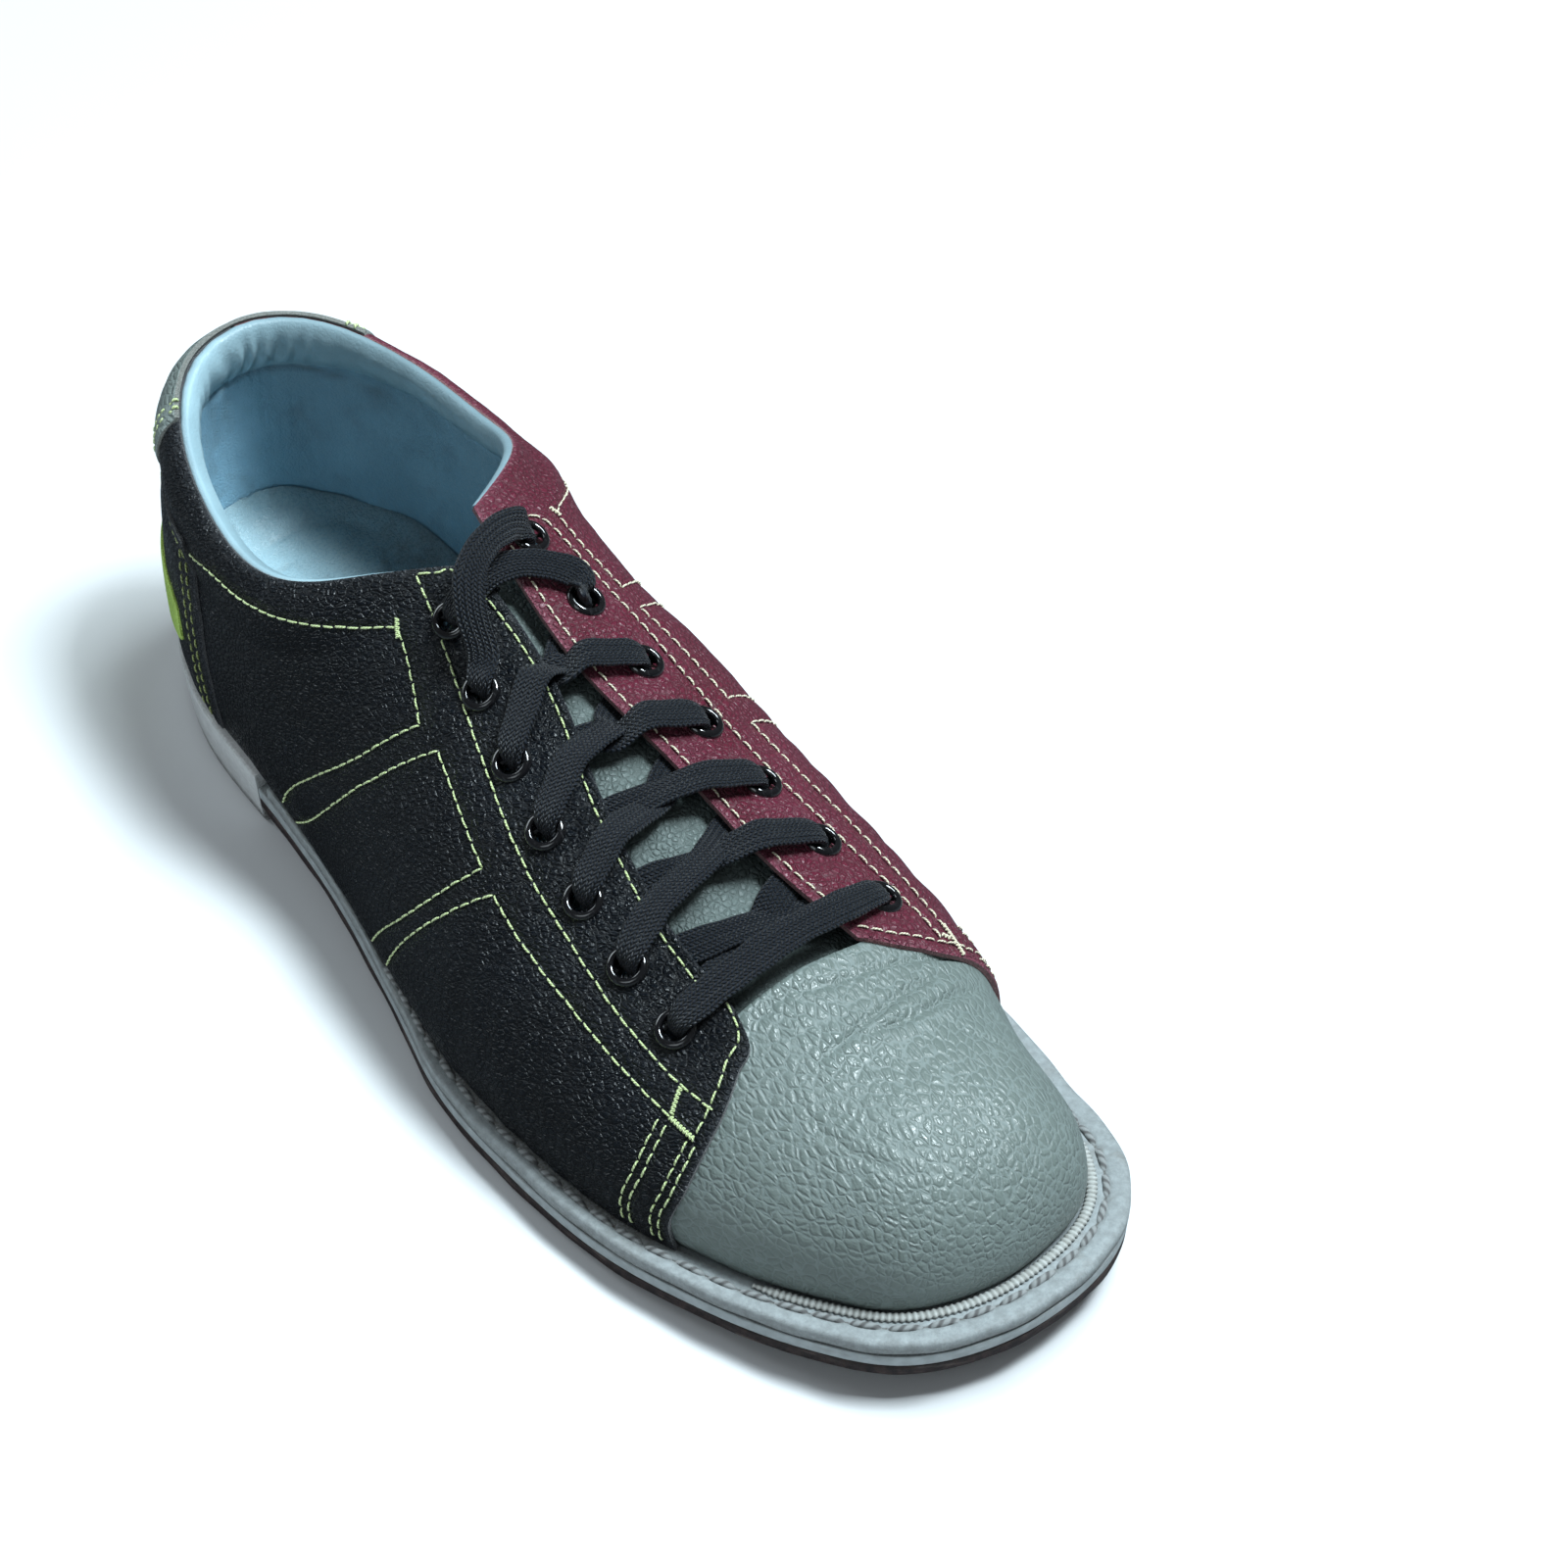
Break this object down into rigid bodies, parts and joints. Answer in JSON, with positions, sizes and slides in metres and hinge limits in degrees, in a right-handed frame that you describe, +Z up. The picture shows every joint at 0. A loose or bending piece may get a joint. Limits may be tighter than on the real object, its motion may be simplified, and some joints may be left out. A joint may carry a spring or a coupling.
{
  "type": "bowling shoe",
  "caption": "Right-foot leather bowling shoe: welted leather sole with a flat heel, black and burgundy quarters, sage toe and tongue, padded collar and a flat lace through round eyelets.",
  "frame": {"origin": "on the ground, under the middle of the shoe's length and width", "axes": "+Z up, toe to -Y, heel to +Y, outer (lateral) side to -X, inner (medial) side to +X"},
  "size_m": [0.108, 0.2994, 0.0914],
  "materials": {
    "black_leather": "pebbled full grain, semi-matt",
    "burgundy_leather": "pebbled full grain, semi-matt",
    "sage_leather": "pebbled full grain, soft sheen",
    "blue_grey_lining": "smooth soft lining, matt",
    "foam": "open-cell foam",
    "board": "leatherboard stiffener, matt",
    "cork": "ground cork",
    "white_welt": "painted white edge, scuffed",
    "sole_leather": "smooth dark brown, scuffed",
    "heel_rubber": "smooth pale grey, matt",
    "lime": "plain lime green patch",
    "black_lace": "flat braid",
    "black_eyelet": "gloss black enamel",
    "steel": "plain steel"
  },
  "bodies": {
    "shoe": {"backstay": "black_leather", "collar_lining": "blue_grey_lining", "collar_pad": "foam", "cork_filler": "cork", "eyelet_lateral_1": "black_eyelet", "eyelet_lateral_2": "black_eyelet", "eyelet_lateral_3": "black_eyelet", "eyelet_lateral_4": "black_eyelet", "eyelet_lateral_5": "black_eyelet", "eyelet_lateral_6": "black_eyelet", "eyelet_lateral_7": "black_eyelet", "eyelet_medial_1": "black_eyelet", "eyelet_medial_2": "black_eyelet", "eyelet_medial_3": "black_eyelet", "eyelet_medial_4": "black_eyelet", "eyelet_medial_5": "black_eyelet", "eyelet_medial_6": "black_eyelet", "eyelet_medial_7": "black_eyelet", "eyestay_backing_lateral": "board", "eyestay_backing_medial": "board", "heel_block": "heel_rubber", "heel_counter": "board", "heel_nail_1": "steel", "heel_nail_2": "steel", "heel_nail_3": "steel", "heel_nail_4": "steel", "heel_nail_5": "steel", "heel_patch": "lime", "heel_sock": "blue_grey_lining", "heel_tab": "sage_leather", "insole": "board", "lace": "black_lace", "midsole": "white_welt", "outsole": "sole_leather", "quarter_lateral": "black_leather", "quarter_lining_lateral": "blue_grey_lining", "quarter_lining_medial": "blue_grey_lining", "quarter_medial": "burgundy_leather", "shank": "steel", "toe_puff": "board", "vamp": "sage_leather", "vamp_lining": "blue_grey_lining", "welt": "white_welt"},
    "tongue": {"tongue": "sage_leather", "tongue_foam": "foam", "tongue_lining": "blue_grey_lining"}
  },
  "joints": [
    {"name": "tongue_hinge", "type": "hinge", "parent": "shoe", "child": "tongue", "pos_m": [0.0025, -0.0772, 0.0431], "axis": [1, 0, 0], "range_deg": [-10, 0]}
  ]
}
